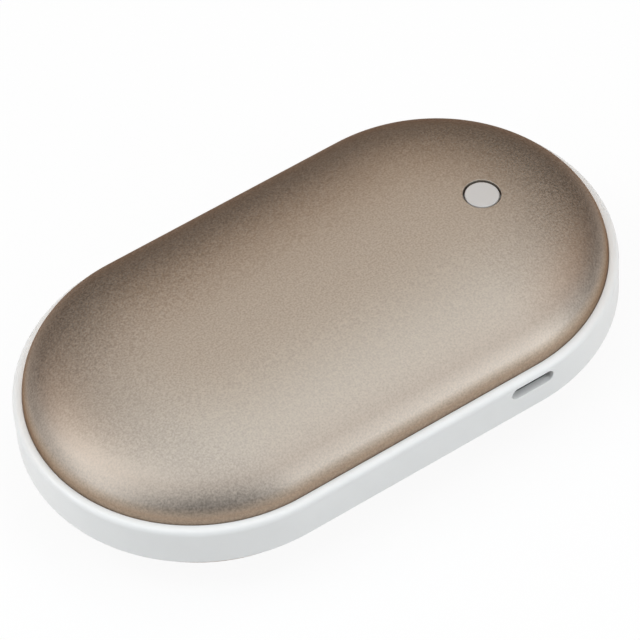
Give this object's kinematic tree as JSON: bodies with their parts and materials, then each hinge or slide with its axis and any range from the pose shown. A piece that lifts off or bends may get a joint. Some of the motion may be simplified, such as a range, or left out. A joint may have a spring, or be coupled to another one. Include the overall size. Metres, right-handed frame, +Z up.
{
  "type": "rechargeable hand warmer",
  "caption": "Pebble-shaped rechargeable hand warmer with domed metal shells on a white band, a push button on top and a charging slot in its side.",
  "frame": {"origin": "under the middle of the body, on the surface that it rests on", "axes": "+X along the body towards the button's end, -Y towards the side with the charging slot, +Z up"},
  "size_m": [0.1046, 0.06, 0.025],
  "materials": {
    "anodised_shell": "sand-blasted and anodised in champagne brown, fine sparkle",
    "band": "white, satin",
    "button": "milky white, lets the lights through",
    "black_plastic": "moulded, matt",
    "adhesive": "double-sided foam tape",
    "heater_film": "amber film",
    "foam": "soft grey foam",
    "cell": "bare can",
    "cell_sleeve": "blue shrink film",
    "nickel": "nickel-plated strip",
    "insulator": "card ring",
    "board": "green circuit board",
    "steel": "plain",
    "contact": "gold-plated",
    "led": "clear-white lamp",
    "chip": "black moulding",
    "inductor": "pressed ferrite",
    "capacitor": "tan ceramic",
    "connector": "ivory nylon",
    "lead_red": "red insulation",
    "lead_black": "black insulation",
    "sensor": "black bead",
    "sensor_lead": "tinned wire"
  },
  "bodies": {
    "case": {"top_shell": "anodised_shell", "bottom_shell": "anodised_shell", "middle_frame": "band", "button_guide": "black_plastic", "top_adhesive": "adhesive", "bottom_adhesive": "adhesive", "top_heater_film": "heater_film", "bottom_heater_film": "heater_film", "top_foam_pad": "foam", "bottom_foam_pad": "foam", "battery_cradle": "black_plastic", "cell_left": "cell", "cell_right": "cell", "cell_sleeves": "cell_sleeve", "cell_terminals": "nickel", "cell_insulators": "insulator", "nickel_strips": "nickel", "positive_lead": "lead_red", "negative_lead": "lead_black", "main_board": "board", "usb_shell": "steel", "usb_tongue": "black_plastic", "usb_contacts": "contact", "switch_case": "black_plastic", "switch_dome": "steel", "indicator_leds": "led", "controller_chip": "chip", "heater_transistors": "chip", "boost_inductor": "inductor", "board_capacitors": "capacitor", "heater_sockets": "connector", "heater_plugs": "connector", "top_heater_leads": "lead_red", "bottom_heater_leads": "lead_black", "thermistor": "sensor", "thermistor_leads": "sensor_lead", "cradle_screws": "steel", "board_screws": "steel"},
    "button": {"power_button": "button", "switch_plunger": "connector"}
  },
  "joints": [
    {"name": "button_press", "type": "slide", "parent": "case", "child": "button", "axis": [0, 0, -1], "range_m": [0, 0.0003], "stiffness_N_per_m": 2000, "springref_m": -0.0003, "deforming": ["switch_dome"]}
  ]
}
